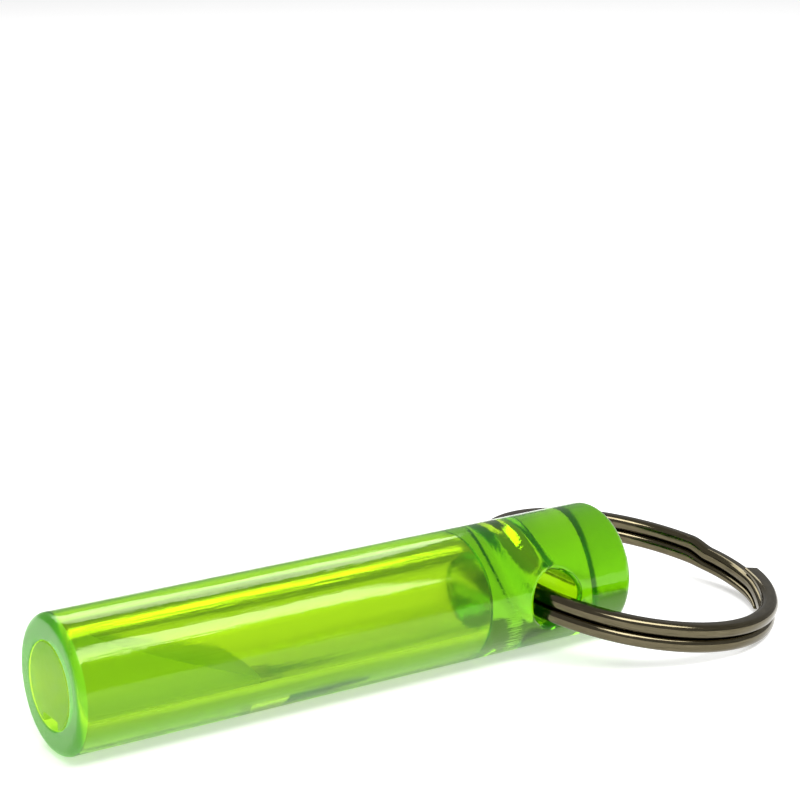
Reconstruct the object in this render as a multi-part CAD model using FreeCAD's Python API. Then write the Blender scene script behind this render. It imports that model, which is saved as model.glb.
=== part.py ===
import FreeCAD, Part
import math
import os

from FreeCAD import Vector

# A tube whistle lying on its side with a split ring through its tail.
# Millimetres. Stations along the tube count from the mouth face. The finished pieces are moved so that
# the origin is the centre of the tail face: +X leaves the tail, Y runs along the ring hole and +Z is up.

BODY_D = 10.5
BODY_LENGTH = 48.5
MOUTH_ROUND = 0.75
TAIL_ROUND = 0.85

BORE_D = 6.55
BORE_DEPTH = 35.7
BORE_END_ROUND = 0.4
BORE_LEAD = 0.08

HOLE_X = 40.9
HOLE_D = 4.3
HOLE_ROUND = 0.4

WINDOW_START = 15.0
WINDOW_LENGTH = 3.2
WINDOW_WIDTH = 2.4
LIP_THICKNESS = 0.2
BEVEL_LENGTH = 8.0

BLOCK_RECESS = 0.02
BLOCK_CLEARANCE = 0.03
BLOCK_CHAMFER = 0.06
BLOCK_SLOPE_START = 2.0
BLOCK_REAR_TOP = -1.2
WINDWAY_HEIGHT = 0.9

RING_OD = 25.4
WIRE_WIDTH = 1.4
WIRE_HEIGHT = 1.15
WIRE_CORNER = 0.5
TURN_GAP = 0.05
RING_CENTRE = Vector(51.87, 0.0, -1.70)
RING_NORMAL = Vector(0.141, -0.126, 0.982)
# The crossover: angle round the ring, and how far the wire has climbed there from lower to upper turn.
CROSSOVER = ((-40.0, 0.0), (-12.0, 0.6), (14.0, 0.68), (24.0, 1.0))
LOWER_TIP = -28.0
UPPER_TIP = -10.0

BODY_R = BODY_D / 2
BORE_R = BORE_D / 2
X_AXIS = Vector(1, 0, 0)


def revolved(points_and_arcs):
    """Solid of revolution about X from edges drawn in the XZ plane above the axis."""
    face = Part.Face(Part.Wire(points_and_arcs))
    return face.revolve(Vector(0, 0, 0), X_AXIS, 360)


def line(a, b):
    return Part.makeLine(Vector(a[0], 0, a[1]), Vector(b[0], 0, b[1]))


def corner(start, centre, end):
    """Quarter round between two points about a centre."""
    mid_angle = (
        math.atan2(start[1] - centre[1], start[0] - centre[0])
        + math.atan2(end[1] - centre[1], end[0] - centre[0])
    ) / 2
    radius = math.hypot(start[0] - centre[0], start[1] - centre[1])
    middle = (centre[0] + radius * math.cos(mid_angle), centre[1] + radius * math.sin(mid_angle))
    return Part.Arc(*(Vector(p[0], 0, p[1]) for p in (start, middle, end))).toShape()


def make_tube():
    """Straight tube, bored from the mouth, closed at the tail."""
    m, t, e = MOUTH_ROUND, TAIL_ROUND, BORE_END_ROUND
    profile = [
        line((BORE_LEAD, BORE_R), (0, BORE_R + BORE_LEAD)),
        line((0, BORE_R + BORE_LEAD), (0, BODY_R - m)),
        corner((0, BODY_R - m), (m, BODY_R - m), (m, BODY_R)),
        line((m, BODY_R), (BODY_LENGTH - t, BODY_R)),
        corner((BODY_LENGTH - t, BODY_R), (BODY_LENGTH - t, BODY_R - t), (BODY_LENGTH, BODY_R - t)),
        line((BODY_LENGTH, BODY_R - t), (BODY_LENGTH, 0)),
        line((BODY_LENGTH, 0), (BORE_DEPTH, 0)),
        line((BORE_DEPTH, 0), (BORE_DEPTH, BORE_R - e)),
        corner((BORE_DEPTH, BORE_R - e), (BORE_DEPTH - e, BORE_R - e), (BORE_DEPTH - e, BORE_R)),
        line((BORE_DEPTH - e, BORE_R), (BORE_LEAD, BORE_R)),
    ]
    return revolved(profile)


def hole_edges(body):
    """The two saddle edges where the ring hole breaks the outside of the tube."""
    found = []
    for edge in body.Edges:
        box = edge.BoundBox
        near_hole = abs(box.Center.x - HOLE_X) < 0.1 and box.XLength < HOLE_D + 0.1
        if near_hole and box.ZLength > HOLE_D - 0.1 and abs(box.Center.y) > BODY_R / 2:
            found.append(edge)
    return found


def make_body():
    """Tube with the ring hole across the tail, and the window and bevel under the mouth end."""
    body = make_tube()
    hole = Part.makeCylinder(HOLE_D / 2, BODY_D + 2, Vector(HOLE_X, -BODY_R - 1, 0), Vector(0, 1, 0))
    body = body.cut(hole)
    body = body.makeFillet(HOLE_ROUND, hole_edges(body))

    window_end = WINDOW_START + WINDOW_LENGTH
    lip_z = -BORE_R - LIP_THICKNESS
    below = -BODY_R - 1
    slope = (BODY_R + lip_z) / BEVEL_LENGTH
    outline = [
        Vector(WINDOW_START, -WINDOW_WIDTH / 2, -2.0),
        Vector(window_end, -WINDOW_WIDTH / 2, -2.0),
        Vector(window_end, -WINDOW_WIDTH / 2, lip_z),
        Vector(window_end + (lip_z - below) / slope, -WINDOW_WIDTH / 2, below),
        Vector(WINDOW_START, -WINDOW_WIDTH / 2, below),
    ]
    wedge = Part.Face(Part.makePolygon(outline + outline[:1])).extrude(Vector(0, WINDOW_WIDTH, 0))
    return body.cut(wedge).Solids[0]


def make_block():
    """Plug in the mouth end of the bore: an air channel underneath, and a top that slopes down to its rear."""
    radius = BORE_R - BLOCK_CLEARANCE
    length = WINDOW_START - BLOCK_RECESS
    block = Part.makeCylinder(radius, length, Vector(BLOCK_RECESS, 0, 0), X_AXIS)
    front = [e for e in block.Edges if abs(e.BoundBox.XMax - BLOCK_RECESS) < 1e-6]
    block = block.makeChamfer(BLOCK_CHAMFER, front)
    channel = Part.makeBox(
        length + 2, WINDOW_WIDTH, WINDWAY_HEIGHT + 1, Vector(BLOCK_RECESS - 1, -WINDOW_WIDTH / 2, -BORE_R - 1)
    )
    run = WINDOW_START - BLOCK_SLOPE_START
    past = (BORE_R - BLOCK_REAR_TOP) / run
    outline = [
        Vector(BLOCK_SLOPE_START - 1, -BORE_R - 1, BORE_R + past),
        Vector(WINDOW_START + 1, -BORE_R - 1, BLOCK_REAR_TOP - past),
        Vector(WINDOW_START + 1, -BORE_R - 1, BORE_R + past),
    ]
    slope = Part.Face(Part.makePolygon(outline + outline[:1])).extrude(Vector(0, 2 * BORE_R + 2, 0))
    return block.cut([channel, slope]).Solids[0]


def ring_axes():
    """Unit vectors of the ring: u points to the tail side, v across it, n along its axis."""
    n = Vector(RING_NORMAL).normalize()
    u = Vector(0, 1, 0).cross(n).normalize()
    return u, n.cross(u), n


def climb(angle):
    """Share of the way from the lower turn to the upper one at an angle round the crossover."""
    if angle <= CROSSOVER[0][0]:
        return 0.0
    for (a0, s0), (a1, s1) in zip(CROSSOVER, CROSSOVER[1:]):
        if angle <= a1:
            t = (angle - a0) / (a1 - a0)
            return s0 + (s1 - s0) * t * t * (3 - 2 * t)
    return 1.0


def wire_at(angle):
    """Bottom and top of the wire at an angle along the winding, from the ring's middle plane."""
    half = WIRE_HEIGHT + TURN_GAP / 2
    pitch = WIRE_HEIGHT + TURN_GAP
    if angle < 180:
        return -half, -half + pitch * climb(angle) - TURN_GAP
    if angle > 540:
        return -half + pitch * climb(angle - 720) + pitch, half
    bottom = -half + pitch * climb(angle - 360)
    return bottom, bottom + WIRE_HEIGHT


def ring_point(angle, radius, height):
    u, v, n = ring_axes()
    a = math.radians(angle)
    return RING_CENTRE + u * (radius * math.cos(a)) + v * (radius * math.sin(a)) + n * height


def wire_section(angle):
    """Rounded section across the wire at one place along the winding."""
    mean = (RING_OD - WIRE_WIDTH) / 2
    bottom, top = wire_at(angle)
    middle = (bottom + top) / 2
    half_w, half_h = WIRE_WIDTH / 2, (top - bottom) / 2
    c = min(WIRE_CORNER, 0.9 * half_h)

    def at(w, h):
        return ring_point(angle, mean + w, middle + h)

    corners = []
    for sw, sh in ((1, 1), (-1, 1), (-1, -1), (1, -1)):
        cw, ch = sw * (half_w - c), sh * (half_h - c)
        side, cap = at(cw + sw * c, ch), at(cw, ch + sh * c)
        mid = at(cw + sw * c * math.sqrt(0.5), ch + sh * c * math.sqrt(0.5))
        corners.append((side, mid, cap) if sw * sh > 0 else (cap, mid, side))
    edges = []
    for i, (first, mid, last) in enumerate(corners):
        edges.append(Part.Arc(first, mid, last).toShape())
        edges.append(Part.makeLine(last, corners[(i + 1) % 4][0]))
    return Part.Wire(edges)


def turned(first, last):
    """A stretch of wire with the same section all along."""
    return Part.Face(wire_section(first)).revolve(RING_CENTRE, ring_axes()[2], last - first)


def lofted(angles):
    """A stretch of wire whose height or thickness changes."""
    return Part.makeLoft([wire_section(a) for a in angles], True, False)


def steps(first, last, size):
    count = max(2, round((last - first) / size))
    return [first + (last - first) * i / count for i in range(count + 1)]


def make_ring():
    """One wire wound nearly twice round. The turns swap in a crossover, and both ends taper beside it."""
    low, high = CROSSOVER[0][0], CROSSOVER[-1][0]
    pieces = [
        lofted(steps(LOWER_TIP, high, 4.0)),
        turned(high, 360 + low),
        lofted(steps(360 + low, 360 + high, 4.0)),
        turned(360 + high, 720 + low),
        lofted(steps(720 + low, 720 + UPPER_TIP, 4.0)),
    ]
    ring = pieces[0].fuse(pieces[1:])
    return ring.Solids[0]


NODES = {
    "whistle_body": make_body(),
    "mouthpiece_block": make_block(),
    "split_ring": make_ring(),
}

os.makedirs("parts", exist_ok=True)
for name, shape in NODES.items():
    shape.translate(Vector(-BODY_LENGTH, 0, 0))
    shape.exportStep(os.path.join("parts", name + ".step"))
    print(name, shape.ShapeType, shape.isValid(), round(shape.Volume, 2))
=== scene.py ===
import math

import bmesh
import bpy
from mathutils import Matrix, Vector


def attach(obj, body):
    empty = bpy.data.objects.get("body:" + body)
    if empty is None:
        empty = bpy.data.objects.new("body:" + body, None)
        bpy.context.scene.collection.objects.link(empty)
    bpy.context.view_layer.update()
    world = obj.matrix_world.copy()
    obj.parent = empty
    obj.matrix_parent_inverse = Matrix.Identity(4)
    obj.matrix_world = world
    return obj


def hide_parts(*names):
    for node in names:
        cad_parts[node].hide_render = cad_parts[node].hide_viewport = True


# A clear lime tube whistle lying on its side with a split ring through its tail.
# Metres. The origin is the centre of the tail face, +X leaves the tail and +Z is up.

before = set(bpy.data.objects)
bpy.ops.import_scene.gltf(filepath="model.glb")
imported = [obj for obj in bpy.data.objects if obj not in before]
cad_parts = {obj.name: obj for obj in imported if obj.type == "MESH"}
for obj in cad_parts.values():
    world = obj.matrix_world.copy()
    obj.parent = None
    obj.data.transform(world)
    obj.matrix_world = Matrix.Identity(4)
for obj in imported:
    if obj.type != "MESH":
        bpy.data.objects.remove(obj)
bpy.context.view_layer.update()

MM = 0.001
BODY_R = 5.25
LENGTH = 48.5
MOUTH_ROUND = 0.75
TAIL_ROUND = 0.85
BORE_R = 3.275
BORE_DEPTH = 35.7
BORE_END_ROUND = 0.4
BORE_LEAD = 0.08
HOLE_X = 40.9
HOLE_R = 2.15
HOLE_ROUND = 0.4
WINDOW_START = 15.0
WINDOW_LENGTH = 3.2
WINDOW_WIDTH = 2.4
LIP_Z = -BORE_R - 0.2
BEVEL_LENGTH = 8.0
BLOCK_RECESS = 0.02
BLOCK_R = BORE_R - 0.03
BLOCK_CHAMFER = 0.06
BLOCK_SLOPE_START = 2.0
BLOCK_REAR_TOP = -1.2
WINDWAY_HEIGHT = 0.9
RING_MEAN_R = 12.0
WIRE_W = 1.4
WIRE_H = 1.15
WIRE_CORNER = 0.5
TURN_GAP = 0.05
RING_CENTRE = Vector((51.87, 0.0, -1.70))
RING_NORMAL = Vector((0.141, -0.126, 0.982)).normalized()
CROSSOVER = ((-40.0, 0.0), (-12.0, 0.6), (14.0, 0.68), (24.0, 1.0))
LOWER_TIP = -28.0
UPPER_TIP = -10.0
FLOOR_Z = -BODY_R
# Painted glow: emission that lights the whole tube faintly and the mouth end and the plug's face more
# strongly.
PAINTED_GLOW = 0.03
PAINTED_END_GLOW = 0.25
PAINTED_PLUG_GLOW = 0.04
FLOOR_GLOW = 0.45
TUBE_TINT = (0.72, 0.76, 0.5)
PLUG_TINT = (0.96, 1.0, 0.8)
PLUG_DENSITY = 200.0
DYE = (0.85, 0.948, 0.0)
DYE_DENSITY = 1000.0
# Green colour of the painted glow on the plastic.
PAINTED_GLOW_COLOUR = (0.2, 1.0, 0.04, 1.0)
PLASTIC_GLOSS = (0.95, 1.0, 0.6, 1.0)
PLASTIC_IOR = 1.5
MOUTH_FROST = 0.8
BORE_FROST = 0.7
TAIL_FROST = 0.7
SHARP_ANGLE = math.radians(28)
FLOOR_SIZE = 60.0
FLOOR_DROP = 0.00002
STUDIO_LIGHT = 0.35

SEGMENTS = 256
PATCH_COLUMNS = 26
PATCH_HALF_X = 3.4
PATCH_ROWS = 24


def place(p):
    """Millimetre station from the mouth to metres in the row frame."""
    return Vector(((p[0] - LENGTH) * MM, p[1] * MM, p[2] * MM))


def new_object(name, verts, faces, uvs=None):
    mesh = bpy.data.meshes.new(name)
    mesh.from_pydata(verts, [], faces)
    mesh.validate()
    if uvs is not None:
        layer = mesh.uv_layers.new(name="UVMap")
        for loop in mesh.loops:
            layer.data[loop.index].uv = uvs[loop.vertex_index]
    obj = bpy.data.objects.new(name, mesh)
    bpy.context.scene.collection.objects.link(obj)
    mesh.shade_smooth()
    return obj


def quarter(centre, radius, start, end, steps):
    """Points round an arc in the (station, radius) plane, both ends included."""
    out = []
    for i in range(steps + 1):
        a = math.radians(start + (end - start) * i / steps)
        out.append((centre[0] + radius * math.cos(a), centre[1] + radius * math.sin(a)))
    return out


def spaced(start, end, step):
    count = max(1, round(abs(end - start) / step))
    return [start + (end - start) * i / count for i in range(count + 1)]


# ---------------------------------------------------------------- tube

def body_profile():
    """(station, radius) from the pole of the bore's blind end, out of the mouth and on to the tail."""
    e, m, t = BORE_END_ROUND, MOUTH_ROUND, TAIL_ROUND
    pts = [(BORE_DEPTH, r) for r in (0.35, 1.0, 1.7, 2.3, BORE_R - e - 0.05)]
    pts += quarter((BORE_DEPTH - e, BORE_R - e), e, 0, 90, 6)
    pts += [(x, BORE_R) for x in spaced(BORE_DEPTH - e, BORE_LEAD + 0.12, 0.8)[1:]]
    pts += quarter((BORE_LEAD + 0.12, BORE_R + BORE_LEAD + 0.12), BORE_LEAD + 0.12, 270, 180, 6)[1:]
    pts += [(0.0, r) for r in spaced(BORE_R + BORE_LEAD + 0.12, BODY_R - m, 0.25)[1:]]
    pts += quarter((m, BODY_R - m), m, 180, 90, 12)[1:]
    patch_start = HOLE_X - PATCH_HALF_X
    patch_end = HOLE_X + PATCH_HALF_X
    pts += [(x, BODY_R) for x in spaced(m, patch_start, 0.8)[1:]]
    first_row = len(pts) - 1
    pts += [(patch_start + 2 * PATCH_HALF_X * i / PATCH_ROWS, BODY_R) for i in range(1, PATCH_ROWS + 1)]
    pts += [(x, BODY_R) for x in spaced(patch_end, LENGTH - t, 0.5)[1:]]
    pts += quarter((LENGTH - t, BODY_R - t), t, 90, 0, 12)[1:]
    pts += [(LENGTH, r) for r in (BODY_R - t - 0.08, 3.6, 2.6, 1.6, 0.7)]
    return pts, first_row


def hole_column(angle, side):
    """Points from the tube's outside, round the hole's edge and into its wall, at one angle."""
    f = HOLE_ROUND
    reach = HOLE_R + f
    cx, cz = HOLE_X + reach * math.cos(angle), reach * math.sin(angle)
    cy = side * math.sqrt((BODY_R - f) ** 2 - cz ** 2)
    outward = Vector((0, cy, cz)).normalized()
    inward = Vector((-math.cos(angle), 0, -math.sin(angle)))
    centre = Vector((cx, cy, cz))
    between = outward.angle(inward)
    steps = 8
    points = []
    for i in range(steps + 1):
        share = i / steps
        turned = outward * math.sin((1 - share) * between) + inward * math.sin(share * between)
        d = turned / math.sin(between)
        points.append(centre + d * f)
    return points


def make_body():
    profile, first_row = body_profile()
    verts = []
    rows = []
    for station, radius in profile:
        row = []
        for k in range(SEGMENTS):
            a = 2 * math.pi * k / SEGMENTS
            row.append(len(verts))
            verts.append(Vector((station, radius * math.cos(a), radius * math.sin(a))))
        rows.append(row)
    verts.append(Vector((BORE_DEPTH, 0, 0)))
    verts.append(Vector((LENGTH, 0, 0)))
    inner_pole, outer_pole = len(verts) - 2, len(verts) - 1

    last_row = first_row + PATCH_ROWS
    middles = (SEGMENTS // 2, 0)
    faces = []
    for i in range(len(rows) - 1):
        for k in range(SEGMENTS):
            in_patch = first_row <= i < last_row and any(
                (k - m + PATCH_COLUMNS) % SEGMENTS < 2 * PATCH_COLUMNS for m in middles
            )
            if not in_patch:
                n = (k + 1) % SEGMENTS
                faces.append((rows[i][k], rows[i][n], rows[i + 1][n], rows[i + 1][k]))
    for k in range(SEGMENTS):
        n = (k + 1) % SEGMENTS
        faces.append((inner_pole, rows[0][n], rows[0][k]))
        faces.append((outer_pole, rows[-1][k], rows[-1][n]))

    inner_loops = []
    for middle, side in zip(middles, (-1, 1)):
        # The lathe's own vertices round the patch, in order of angle about the hole.
        border = set()
        for i in range(first_row, last_row + 1):
            for offset in (-PATCH_COLUMNS, PATCH_COLUMNS):
                border.add(rows[i][(middle + offset) % SEGMENTS])
        for offset in range(-PATCH_COLUMNS, PATCH_COLUMNS + 1):
            for i in (first_row, last_row):
                border.add(rows[i][(middle + offset) % SEGMENTS])

        def around(index):
            p = verts[index]
            return math.atan2(BODY_R * math.asin(max(-1, min(1, p.z / BODY_R))), p.x - HOLE_X)

        border = sorted(border, key=around)
        rings = [border]
        columns = []
        for index in border:
            angle = around(index)
            columns.append((verts[index], hole_column(angle, side)))
        blend_steps = 5
        for j in range(1, blend_steps):
            ring = []
            for outside, column in columns:
                share = j / blend_steps
                edge = column[0]
                x = outside.x + (edge.x - outside.x) * share
                arc_out = math.asin(max(-1, min(1, outside.z / BODY_R)))
                arc_edge = math.asin(max(-1, min(1, edge.z / BODY_R)))
                arc = arc_out + (arc_edge - arc_out) * share
                ring.append(len(verts))
                verts.append(Vector((x, side * BODY_R * math.cos(arc), BODY_R * math.sin(arc))))
            rings.append(ring)
        for j in range(len(columns[0][1])):
            ring = []
            for _, column in columns:
                ring.append(len(verts))
                verts.append(column[j])
            rings.append(ring)
        for outer, inner in zip(rings, rings[1:]):
            for k in range(len(outer)):
                n = (k + 1) % len(outer)
                face = (outer[k], outer[n], inner[n], inner[k])
                faces.append(face if side < 0 else face[::-1])
        inner_loops.append(rings[-1])

    # The hole's straight wall joins the two rounded mouths.
    near, far = inner_loops
    wall_steps = 12
    previous = near
    for j in range(1, wall_steps + 1):
        if j == wall_steps:
            ring = far
        else:
            ring = []
            for a, b in zip(near, far):
                ring.append(len(verts))
                verts.append(verts[a].lerp(verts[b], j / wall_steps))
        for k in range(len(near)):
            n = (k + 1) % len(near)
            faces.append((previous[k], previous[n], ring[n], ring[k]))
        previous = ring

    body = new_object("whistle_tube", [place(v) for v in verts], faces)
    bm = bmesh.new()
    bm.from_mesh(body.data)
    bmesh.ops.recalc_face_normals(bm, faces=bm.faces)
    bm.to_mesh(body.data)
    bm.free()
    return body


def cut_window(body):
    """Cuts the sound window and its bevelled lip through the underside."""
    window_end = WINDOW_START + WINDOW_LENGTH
    below = -BODY_R - 1
    slope = (BODY_R + LIP_Z) / BEVEL_LENGTH
    ramp_end = window_end + (LIP_Z - below) / slope
    outline = [
        (WINDOW_START, -2.0),
        (window_end, -2.0),
        (window_end, LIP_Z),
        (ramp_end, below),
        (WINDOW_START, below),
    ]
    half = WINDOW_WIDTH / 2
    verts = [place((x, side * half, z)) for side in (-1, 1) for x, z in outline]
    count = len(outline)
    faces = [tuple(range(count)), tuple(range(2 * count - 1, count - 1, -1))]
    for k in range(count):
        n = (k + 1) % count
        faces.append((k, k + count, n + count, n))
    cutter = new_object("window_cutter", verts, faces)
    bm = bmesh.new()
    bm.from_mesh(cutter.data)
    bmesh.ops.recalc_face_normals(bm, faces=bm.faces)
    bm.to_mesh(cutter.data)
    bm.free()
    boolean = body.modifiers.new("window", "BOOLEAN")
    boolean.operation = "DIFFERENCE"
    boolean.solver = "EXACT"
    boolean.object = cutter
    graph = bpy.context.evaluated_depsgraph_get()
    cut = bpy.data.meshes.new_from_object(body.evaluated_get(graph))
    body.modifiers.clear()
    body.data = cut
    cut.name = "whistle_tube"
    bpy.data.objects.remove(cutter)
    for edge in cut.edges:
        edge.use_edge_sharp = False
    cut.set_sharp_from_angle(angle=SHARP_ANGLE)
    return body


def mark_finish(body):
    """Marks the faces that the mould leaves dull, and paints a glow: faint over the whole tube and stronger
    on the mouth end.
    """
    frost = body.data.attributes.new("frost", "FLOAT", "FACE")
    glow = body.data.attributes.new("glow", "FLOAT", "FACE")
    for face in body.data.polygons:
        c = face.center / MM
        radius = math.hypot(c.y, c.z)
        station = c.x + LENGTH
        # Painted glow: a faint emission on every face, and a stronger one on the mouth end.
        glow.data[face.index].value = PAINTED_GLOW
        if station < MOUTH_ROUND * 0.8:
            frost.data[face.index].value = MOUTH_FROST
            glow.data[face.index].value = PAINTED_END_GLOW
        elif radius < BORE_R + 0.05 and station < BORE_DEPTH + 0.1:
            frost.data[face.index].value = BORE_FROST
        elif station > LENGTH - TAIL_ROUND:
            frost.data[face.index].value = TAIL_FROST


# ---------------------------------------------------------------- block

def plug_section(station, inset):
    """Outline of the plug at a station: a circle with the air channel below and the sloping cut above."""
    radius = BLOCK_R - inset
    half = WINDOW_WIDTH / 2 + inset
    roof = -BORE_R + WINDWAY_HEIGHT + inset
    run = WINDOW_START - BLOCK_SLOPE_START
    share = max(0.0, (station - BLOCK_SLOPE_START) / run)
    top = min(BORE_R + (BLOCK_REAR_TOP - BORE_R) * share - inset, radius * 0.99999)
    turn = math.asin(top / radius)
    low = math.acos(half / radius)
    points = []
    for i in range(101):
        a = turn + (-low - turn) * i / 100
        points.append((radius * math.cos(a), radius * math.sin(a)))
    corner_z = points[-1][1]
    for i in range(1, 5):
        points.append((half, corner_z + (roof - corner_z) * i / 4))
    for i in range(1, 9):
        points.append((half - 2 * half * i / 8, roof))
    for i in range(1, 5):
        points.append((-half, roof + (corner_z - roof) * i / 4))
    for i in range(1, 101):
        a = -low + (turn + low) * i / 100
        points.append((-radius * math.cos(a), radius * math.sin(a)))
    edge = points[0][0]
    for i in range(1, 24):
        points.append((-edge + 2 * edge * i / 24, top))
    return points


def make_block():
    """Plug with an air channel underneath and a top that slopes down towards its rear."""
    stations = [(BLOCK_RECESS, BLOCK_CHAMFER)]
    stations += [(x, 0.0) for x in spaced(BLOCK_RECESS + BLOCK_CHAMFER, BLOCK_SLOPE_START, 0.8)]
    stations += [(x, 0.0) for x in spaced(BLOCK_SLOPE_START, WINDOW_START - 0.06, 0.5)[1:]]
    stations += [(WINDOW_START, 0.06)]
    verts, faces, rows = [], [], []
    for station, inset in stations:
        row = []
        for y, z in plug_section(station, inset):
            row.append(len(verts))
            verts.append(place((station, y, z)))
        rows.append(row)
    for a, b in zip(rows, rows[1:]):
        for k in range(len(a)):
            n = (k + 1) % len(a)
            faces.append((a[k], a[n], b[n], b[k]))
    faces.append(tuple(rows[0]))
    faces.append(tuple(reversed(rows[-1])))
    block = new_object("mouth_plug", verts, faces)
    bm = bmesh.new()
    bm.from_mesh(block.data)
    bmesh.ops.recalc_face_normals(bm, faces=bm.faces)
    bm.to_mesh(block.data)
    bm.free()
    block.data.set_sharp_from_angle(angle=SHARP_ANGLE)
    frost = block.data.attributes.new("frost", "FLOAT", "FACE")
    # Painted glow: the plug's mouth face gets its own emission strength, and the rest gets the tube's faint
    # one.
    glow = block.data.attributes.new("glow", "FLOAT", "FACE")
    for face in block.data.polygons:
        frost.data[face.index].value = 1.0
        at_mouth = face.center.x / MM + LENGTH < BLOCK_RECESS + BLOCK_CHAMFER
        glow.data[face.index].value = PAINTED_PLUG_GLOW if at_mouth else PAINTED_GLOW
    return block


# ---------------------------------------------------------------- ring

def climb(angle):
    """Share of the way from the lower turn to the upper one at an angle round the crossover."""
    if angle <= CROSSOVER[0][0]:
        return 0.0
    for (a0, s0), (a1, s1) in zip(CROSSOVER, CROSSOVER[1:]):
        if angle <= a1:
            t = (angle - a0) / (a1 - a0)
            return s0 + (s1 - s0) * t * t * (3 - 2 * t)
    return 1.0


def wire_at(angle):
    """Bottom and top of the wire at an angle along the winding, from the ring's middle plane."""
    half = WIRE_H + TURN_GAP / 2
    pitch = WIRE_H + TURN_GAP
    if angle < 180:
        return -half, -half + pitch * climb(angle) - TURN_GAP
    if angle > 540:
        return -half + pitch * climb(angle - 720) + pitch, half
    bottom = -half + pitch * climb(angle - 360)
    return bottom, bottom + WIRE_H


def wire_outline(angle, shrink):
    """Rounded section across the wire, as (outward, upward) offsets from its mean radius and middle plane."""
    bottom, top = wire_at(angle)
    middle, half_h = (bottom + top) / 2, (top - bottom) / 2
    c = min(WIRE_CORNER, 0.9 * half_h)
    reach = max(c - shrink, 0.01)
    points = []
    for sw, sh, start in ((1, 1, 0), (-1, 1, 90), (-1, -1, 180), (1, -1, 270)):
        for i in range(11):
            a = math.radians(start + 9 * i)
            w = sw * (WIRE_W / 2 - c) + reach * math.cos(a)
            h = sh * (half_h - c) + reach * math.sin(a)
            points.append((w, middle + h))
    return points


def make_ring():
    """One wire wound nearly twice round. The turns swap in a crossover, and both ends taper beside it."""
    n = RING_NORMAL
    u = Vector((0, 1, 0)).cross(n).normalized()
    v = n.cross(u)
    first, last = LOWER_TIP, 720 + UPPER_TIP
    ground = 0.1
    edge = math.degrees(ground / RING_MEAN_R)
    stations = []
    for i in range(5):
        a = math.radians(90 * i / 4)
        stations.append((first + edge * (1 - math.cos(a)), ground * (1 - math.sin(a))))
    steps = 960
    for i in range(1, steps):
        stations.append((first + edge + (last - first - 2 * edge) * i / steps, 0.0))
    for i in range(5):
        a = math.radians(90 * i / 4)
        stations.append((last - edge * (1 - math.sin(a)), ground * (1 - math.cos(a))))
    verts, faces, rows, uvs = [], [], [], []
    for angle, shrink in stations:
        a = math.radians(angle)
        outline = wire_outline(angle, shrink)
        row = []
        for k, (w, h) in enumerate(outline):
            radius = RING_MEAN_R + w
            row.append(len(verts))
            verts.append(place(RING_CENTRE + u * (radius * math.cos(a)) + v * (radius * math.sin(a)) + n * h))
            uvs.append((RING_MEAN_R * a, k / len(outline)))
        rows.append(row)
    for a, b in zip(rows, rows[1:]):
        for k in range(len(a)):
            m = (k + 1) % len(a)
            faces.append((a[k], a[m], b[m], b[k]))
    faces.append(tuple(rows[0]))
    faces.append(tuple(reversed(rows[-1])))
    ring = new_object("split_ring_wire", verts, faces, uvs)
    bm = bmesh.new()
    bm.from_mesh(ring.data)
    bmesh.ops.recalc_face_normals(bm, faces=bm.faces)
    bm.to_mesh(ring.data)
    bm.free()
    return ring


# ---------------------------------------------------------------- finishes

def material(name):
    """New material with a Principled shader on its surface."""
    mat = bpy.data.materials.new(name)
    mat.use_nodes = True
    tree = mat.node_tree
    tree.nodes.clear()
    out = tree.nodes.new("ShaderNodeOutputMaterial")
    shader = tree.nodes.new("ShaderNodeBsdfPrincipled")
    tree.links.new(shader.outputs["BSDF"], out.inputs["Surface"])
    return mat, tree, shader, out


def noise(tree, coord, scale, detail=3.0, rough=0.5):
    node = tree.nodes.new("ShaderNodeTexNoise")
    node.inputs["Scale"].default_value = scale
    node.inputs["Detail"].default_value = detail
    node.inputs["Roughness"].default_value = rough
    tree.links.new(coord, node.inputs["Vector"])
    return node


def ramp(tree, value, stops):
    node = tree.nodes.new("ShaderNodeValToRGB")
    elements = node.color_ramp.elements
    while len(elements) < len(stops):
        elements.new(0.5)
    for element, (position, colour) in zip(elements, stops):
        element.position = position
        element.color = (*colour, 1.0)
    tree.links.new(value, node.inputs["Fac"])
    return node


def stretched(tree, factors):
    coord = tree.nodes.new("ShaderNodeTexCoord")
    mapping = tree.nodes.new("ShaderNodeMapping")
    mapping.inputs["Scale"].default_value = factors
    tree.links.new(coord.outputs["Object"], mapping.inputs["Vector"])
    return mapping.outputs["Vector"]


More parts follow.
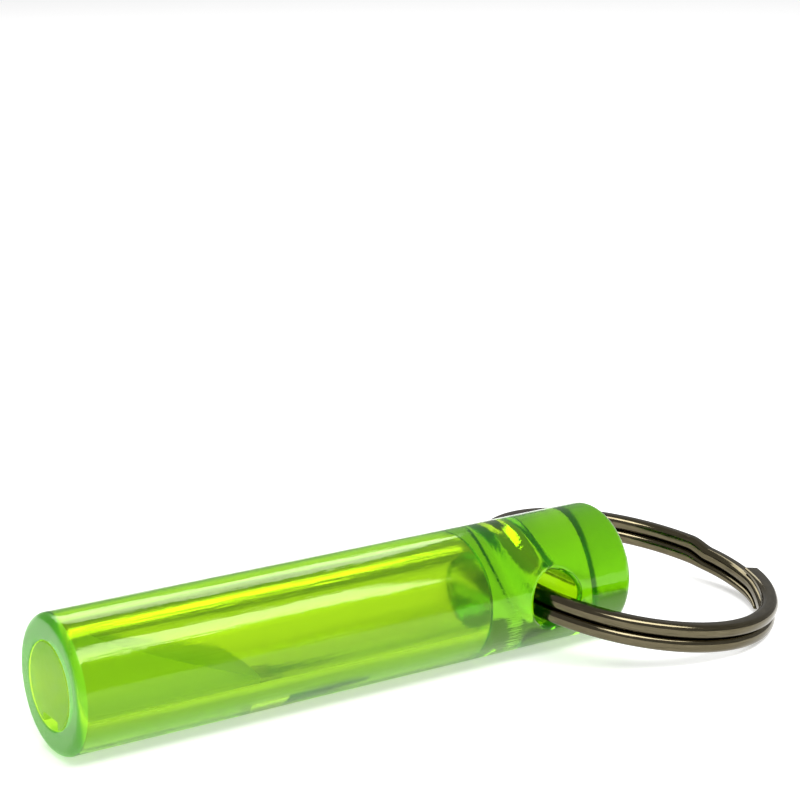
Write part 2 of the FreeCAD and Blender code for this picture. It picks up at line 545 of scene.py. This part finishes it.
def clear_plastic(name, tint, density, frost_rough):
    """Dyed clear plastic: polished outside, drawn and dull where the frost attribute marks it, with a painted
    glow set as emission by the glow attribute.
    """
    mat, tree, shader, out = material(name)
    shader.inputs["Transmission Weight"].default_value = 1.0
    shader.inputs["IOR"].default_value = PLASTIC_IOR
    shader.inputs["Specular Tint"].default_value = PLASTIC_GLOSS
    # Green emission colour of the painted glow.
    shader.inputs["Emission Color"].default_value = PAINTED_GLOW_COLOUR
    drawn = noise(tree, stretched(tree, (60.0, 1400.0, 1400.0)), 1.0, 4.0, 0.6)
    colour = ramp(tree, drawn.outputs["Fac"], [(0.3, tuple(0.96 * c for c in tint)), (0.7, tint)])
    tree.links.new(colour.outputs["Color"], shader.inputs["Base Color"])
    low, high = frost_rough
    dull = ramp(tree, drawn.outputs["Fac"], [(0.3, (low,) * 3), (0.7, (high,) * 3)])
    wear = noise(tree, stretched(tree, (1.0, 1.0, 1.0)), 900.0, 4.0)
    polish = ramp(tree, wear.outputs["Fac"], [(0.5, (0.0,) * 3), (0.85, (0.04,) * 3)])
    rough = tree.nodes.new("ShaderNodeMix")
    rough.data_type = "RGBA"
    # The glow attribute drives Emission Strength: painted glow on the plastic.
    marked = (("frost", rough.inputs["Factor"]), ("glow", shader.inputs["Emission Strength"]))
    for attribute, target in marked:
        node = tree.nodes.new("ShaderNodeAttribute")
        node.attribute_name = attribute
        tree.links.new(node.outputs["Fac"], target)
    tree.links.new(polish.outputs["Color"], rough.inputs["A"])
    tree.links.new(dull.outputs["Color"], rough.inputs["B"])
    tree.links.new(rough.outputs["Result"], shader.inputs["Roughness"])
    bump = tree.nodes.new("ShaderNodeBump")
    bump.inputs["Strength"].default_value = 0.25
    bump.inputs["Distance"].default_value = 0.0001
    tree.links.new(drawn.outputs["Fac"], bump.inputs["Height"])
    tree.links.new(bump.outputs["Normal"], shader.inputs["Normal"])
    volume = tree.nodes.new("ShaderNodeVolumeAbsorption")
    volume.inputs["Color"].default_value = (*DYE, 1.0)
    volume.inputs["Density"].default_value = density
    tree.links.new(volume.outputs["Volume"], out.inputs["Volume"])
    return mat


def ring_metal():
    """Dark nickel wire, with fine marks along its length."""
    mat, tree, shader, _ = material("nickel_wire")
    shader.inputs["Metallic"].default_value = 1.0
    uv = tree.nodes.new("ShaderNodeUVMap")
    uv.uv_map = "UVMap"
    mapping = tree.nodes.new("ShaderNodeMapping")
    mapping.inputs["Scale"].default_value = (0.25, 14.0, 1.0)
    tree.links.new(uv.outputs["UV"], mapping.inputs["Vector"])
    drawn = noise(tree, mapping.outputs["Vector"], 3.0, 5.0, 0.6)
    tone = ramp(tree, drawn.outputs["Fac"], [(0.3, (0.08, 0.068, 0.04)), (0.7, (0.17, 0.147, 0.09))])
    tree.links.new(tone.outputs["Color"], shader.inputs["Base Color"])
    rough = ramp(tree, drawn.outputs["Fac"], [(0.3, (0.08,) * 3), (0.75, (0.18,) * 3)])
    tree.links.new(rough.outputs["Color"], shader.inputs["Roughness"])
    bump = tree.nodes.new("ShaderNodeBump")
    bump.inputs["Strength"].default_value = 0.06
    bump.inputs["Distance"].default_value = 0.00004
    tree.links.new(drawn.outputs["Fac"], bump.inputs["Height"])
    tree.links.new(bump.outputs["Normal"], shader.inputs["Normal"])
    return mat


def stage_material(name, colour, glow, rough=0.6):
    """Plain finish for the stage, with an even light of its own."""
    mat, _, shader, _ = material(name)
    shader.inputs["Emission Color"].default_value = (1.0, 1.0, 1.0, 1.0)
    shader.inputs["Emission Strength"].default_value = glow
    shader.inputs["Base Color"].default_value = (*colour, 1.0)
    shader.inputs["Roughness"].default_value = rough
    return mat


# ---------------------------------------------------------------- pieces

body = cut_window(make_body())
mark_finish(body)
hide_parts("whistle_body")
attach(body, "whistle")
body.data.materials.clear()
body.data.materials.append(clear_plastic("lime_tube", TUBE_TINT, DYE_DENSITY, (0.16, 0.34)))

block = make_block()
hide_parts("mouthpiece_block")
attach(block, "whistle")
block.data.materials.append(clear_plastic("lime_plug", PLUG_TINT, PLUG_DENSITY, (0.45, 0.7)))

ring = make_ring()
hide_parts("split_ring")
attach(ring, "ring")
ring.data.materials.append(ring_metal())

# ---------------------------------------------------------------- stage and light

bpy.ops.mesh.primitive_plane_add(size=FLOOR_SIZE, location=(0, 0, FLOOR_Z * MM - FLOOR_DROP))
floor = bpy.context.object
floor.name = "floor"
floor.data.materials.append(stage_material("pale_floor", (0.9, 0.9, 0.9), FLOOR_GLOW))

world = bpy.data.worlds.new("studio")
bpy.context.scene.world = world
world.use_nodes = True
world.node_tree.nodes["Background"].inputs["Color"].default_value = (1.0, 1.0, 1.0, 1.0)
world.node_tree.nodes["Background"].inputs["Strength"].default_value = STUDIO_LIGHT


def softbox(name, location, size, radiance):
    """Rectangular lamp facing the whistle, set by how bright its face looks."""
    data = bpy.data.lights.new(name, "AREA")
    data.shape = "RECTANGLE"
    data.size, data.size_y = size
    data.energy = radiance * math.pi * size[0] * size[1]
    lamp = bpy.data.objects.new(name, data)
    lamp.location = location
    lamp.rotation_mode = "QUATERNION"
    lamp.rotation_quaternion = (Vector((-0.02, 0, 0)) - Vector(location)).to_track_quat("-Z", "Y")
    bpy.context.scene.collection.objects.link(lamp)
    return lamp


softbox("front_box", (0.03, -0.265, 0.42), (0.47, 0.175), 9.0)
softbox("back_box", (0.05, 0.35, 0.35), (0.45, 0.2), 4.0)

# ---------------------------------------------------------------- camera

YAW, PITCH = 0.5761, 0.2607
data = bpy.data.cameras.new("camera")
data.sensor_width = 36.0
data.lens = 103.07
camera = bpy.data.objects.new("camera", data)
camera.location = (-0.110074, -0.140393, 0.061302)
forward = Vector((math.sin(YAW) * math.cos(PITCH), math.cos(YAW) * math.cos(PITCH), -math.sin(PITCH)))
camera.rotation_mode = "QUATERNION"
camera.rotation_quaternion = forward.to_track_quat("-Z", "Y")
data.clip_start = 0.005
data.clip_end = 100.0
bpy.context.scene.collection.objects.link(camera)
bpy.context.scene.camera = camera

scene = bpy.context.scene
scene.view_settings.view_transform = "Standard"
scene.cycles.max_bounces = 48
scene.cycles.transmission_bounces = 48
scene.cycles.glossy_bounces = 8
scene.cycles.transparent_max_bounces = 16
